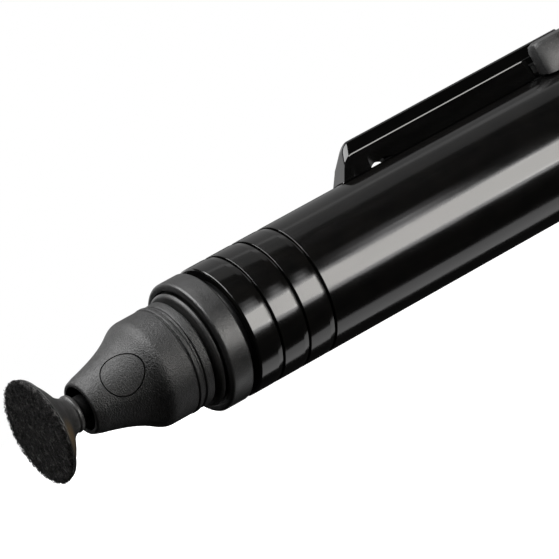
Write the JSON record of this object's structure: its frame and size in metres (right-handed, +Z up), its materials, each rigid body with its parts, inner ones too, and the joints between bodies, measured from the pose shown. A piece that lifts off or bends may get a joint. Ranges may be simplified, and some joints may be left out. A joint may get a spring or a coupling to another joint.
{
  "type": "lens cleaning pen",
  "caption": "Black lens cleaning pen with a round suede tip on a pivoting rubber cup, a grooved glossy barrel, a pocket clip and a thumb slide that pushes a soft brush out of the rear.",
  "frame": {"origin": "middle of the pen's length and width, on the surface that the barrel rests on", "axes": "+X along the barrel from the cleaning tip to the brush end, +Z up towards the clip, +Y across"},
  "size_m": [0.1066, 0.014, 0.0175],
  "materials": {
    "suede": "napped suede",
    "foam": "soft open foam",
    "rubber": "smooth natural rubber",
    "nylon": "moulded nylon",
    "matte": "fine grained matte",
    "satin": "semi-matte moulded",
    "gloss": "polished black",
    "steel": "bright spring steel",
    "bristle": "soft dark hair"
  },
  "bodies": {
    "body": {"barrel": "gloss", "guide_sleeve": "nylon", "tail_ring": "satin", "front_bushing": "satin", "front_ring": "satin", "cap_seal_ring": "rubber", "cap_seat_collar": "matte", "nose_spigot": "nylon", "nose_cone": "matte", "pivot_plug_right": "matte", "pivot_plug_left": "matte"},
    "stem": {"tip_stem": "nylon"},
    "tip": {"tip_cup": "rubber", "foam_backing": "foam", "cleaning_pad": "suede"},
    "slide": {"brush_carriage": "nylon", "detent_spring": "steel", "brush_ferrule": "satin", "brush_bristles": "bristle", "thumb_slide": "matte", "clip_pin": "steel"},
    "clip": {"clip": "gloss"}
  },
  "joints": [
    {"name": "tip_tilt", "type": "hinge", "parent": "body", "child": "stem", "pos_m": [-0.04405, 0, 0.00697], "axis": [0, -0.9659, 0.2588], "range_deg": [-8, 8]},
    {"name": "cup_flex", "type": "hinge", "parent": "stem", "child": "tip", "pos_m": [-0.05055, 0, 0.00697], "axis": [0, 0.2588, 0.9659], "range_deg": [-8, 8], "stiffness_Nm_per_rad": 0.003},
    {"name": "brush_slide", "type": "slide", "parent": "body", "child": "slide", "axis": [1, 0, 0], "range_m": [0, 0.022]},
    {"name": "clip_flex", "type": "hinge", "parent": "slide", "child": "clip", "pos_m": [0.0178, 0, 0.01627], "axis": [0, 1, 0], "range_deg": [0, 5], "stiffness_Nm_per_rad": 0.5}
  ]
}
